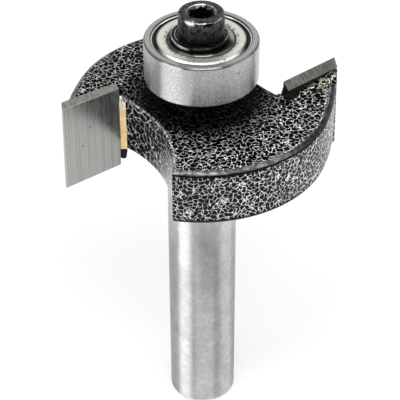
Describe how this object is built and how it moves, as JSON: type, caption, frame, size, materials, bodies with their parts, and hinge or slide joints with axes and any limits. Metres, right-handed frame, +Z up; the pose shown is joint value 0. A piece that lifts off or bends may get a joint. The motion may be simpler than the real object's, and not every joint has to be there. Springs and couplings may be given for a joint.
{
  "type": "router bit",
  "caption": "Rebating router bit: shank, thick round head with gullets and brazed cutting tips, and a screwed-on ball-bearing pilot.",
  "frame": {"origin": "centre of the shank's flat end face", "axes": "+Z up the axis from the shank to the pilot screw; the cutting edges lie on +X and -X"},
  "size_m": [0.0322, 0.0288, 0.0549],
  "materials": {
    "hammertone_steel": "hammertone paint on the head, bright ground steel on the shank",
    "carbide": "ground cemented carbide",
    "braze": "silver-brass braze, as flowed",
    "bearing_steel": "ground and polished",
    "shield_steel": "satin pressed sheet",
    "wire_steel": "drawn wire",
    "cage_steel": "pressed sheet",
    "ball_steel": "polished",
    "black_oxide": "black oxide, worn bright at the edges"
  },
  "bodies": {
    "cutter": {"cutter_body": "hammertone_steel", "carbide_tip_1": "carbide", "carbide_tip_2": "carbide", "braze_1": "braze", "braze_2": "braze", "inner_ring": "bearing_steel", "washer": "black_oxide", "cap_screw": "black_oxide"},
    "pilot": {"outer_ring": "bearing_steel", "shield_upper": "shield_steel", "shield_lower": "shield_steel", "wire_ring_upper": "wire_steel", "wire_ring_lower": "wire_steel"},
    "cage": {"cage_upper": "cage_steel", "cage_lower": "cage_steel"},
    "ball_1_body": {"ball_1": "ball_steel"},
    "ball_2_body": {"ball_2": "ball_steel"},
    "ball_3_body": {"ball_3": "ball_steel"},
    "ball_4_body": {"ball_4": "ball_steel"},
    "ball_5_body": {"ball_5": "ball_steel"},
    "ball_6_body": {"ball_6": "ball_steel"},
    "ball_7_body": {"ball_7": "ball_steel"}
  },
  "joints": [
    {"name": "pilot_spin", "type": "hinge", "parent": "cutter", "child": "pilot", "pos_m": [0, 0, 0.04914], "axis": [0, 0, 1], "continuous": true},
    {"name": "cage_spin", "type": "hinge", "parent": "cutter", "child": "cage", "pos_m": [0, 0, 0.04914], "axis": [0, 0, 1], "continuous": true},
    {"name": "ball_1_spin", "type": "hinge", "parent": "cage", "child": "ball_1_body", "pos_m": [0.0041, 0.00149, 0.04914], "axis": [0, 0, 1], "continuous": true},
    {"name": "ball_2_spin", "type": "hinge", "parent": "cage", "child": "ball_2_body", "pos_m": [0.00139, 0.00414, 0.04914], "axis": [0, 0, 1], "continuous": true},
    {"name": "ball_3_spin", "type": "hinge", "parent": "cage", "child": "ball_3_body", "pos_m": [-0.00237, 0.00367, 0.04914], "axis": [0, 0, 1], "continuous": true},
    {"name": "ball_4_spin", "type": "hinge", "parent": "cage", "child": "ball_4_body", "pos_m": [-0.00434, 0.00043, 0.04914], "axis": [0, 0, 1], "continuous": true},
    {"name": "ball_5_spin", "type": "hinge", "parent": "cage", "child": "ball_5_body", "pos_m": [-0.00305, -0.00313, 0.04914], "axis": [0, 0, 1], "continuous": true},
    {"name": "ball_6_spin", "type": "hinge", "parent": "cage", "child": "ball_6_body", "pos_m": [0.00054, -0.00433, 0.04914], "axis": [0, 0, 1], "continuous": true},
    {"name": "ball_7_spin", "type": "hinge", "parent": "cage", "child": "ball_7_body", "pos_m": [0.00373, -0.00228, 0.04914], "axis": [0, 0, 1], "continuous": true}
  ],
  "couplings": [
    {"joint": "cage_spin", "follows": "pilot_spin", "ratio": 0.63635},
    {"joint": "ball_1_spin", "follows": "pilot_spin", "ratio": 1.6971},
    {"joint": "ball_2_spin", "follows": "pilot_spin", "ratio": 1.6971},
    {"joint": "ball_3_spin", "follows": "pilot_spin", "ratio": 1.6971},
    {"joint": "ball_4_spin", "follows": "pilot_spin", "ratio": 1.6971},
    {"joint": "ball_5_spin", "follows": "pilot_spin", "ratio": 1.6971},
    {"joint": "ball_6_spin", "follows": "pilot_spin", "ratio": 1.6971},
    {"joint": "ball_7_spin", "follows": "pilot_spin", "ratio": 1.6971}
  ]
}
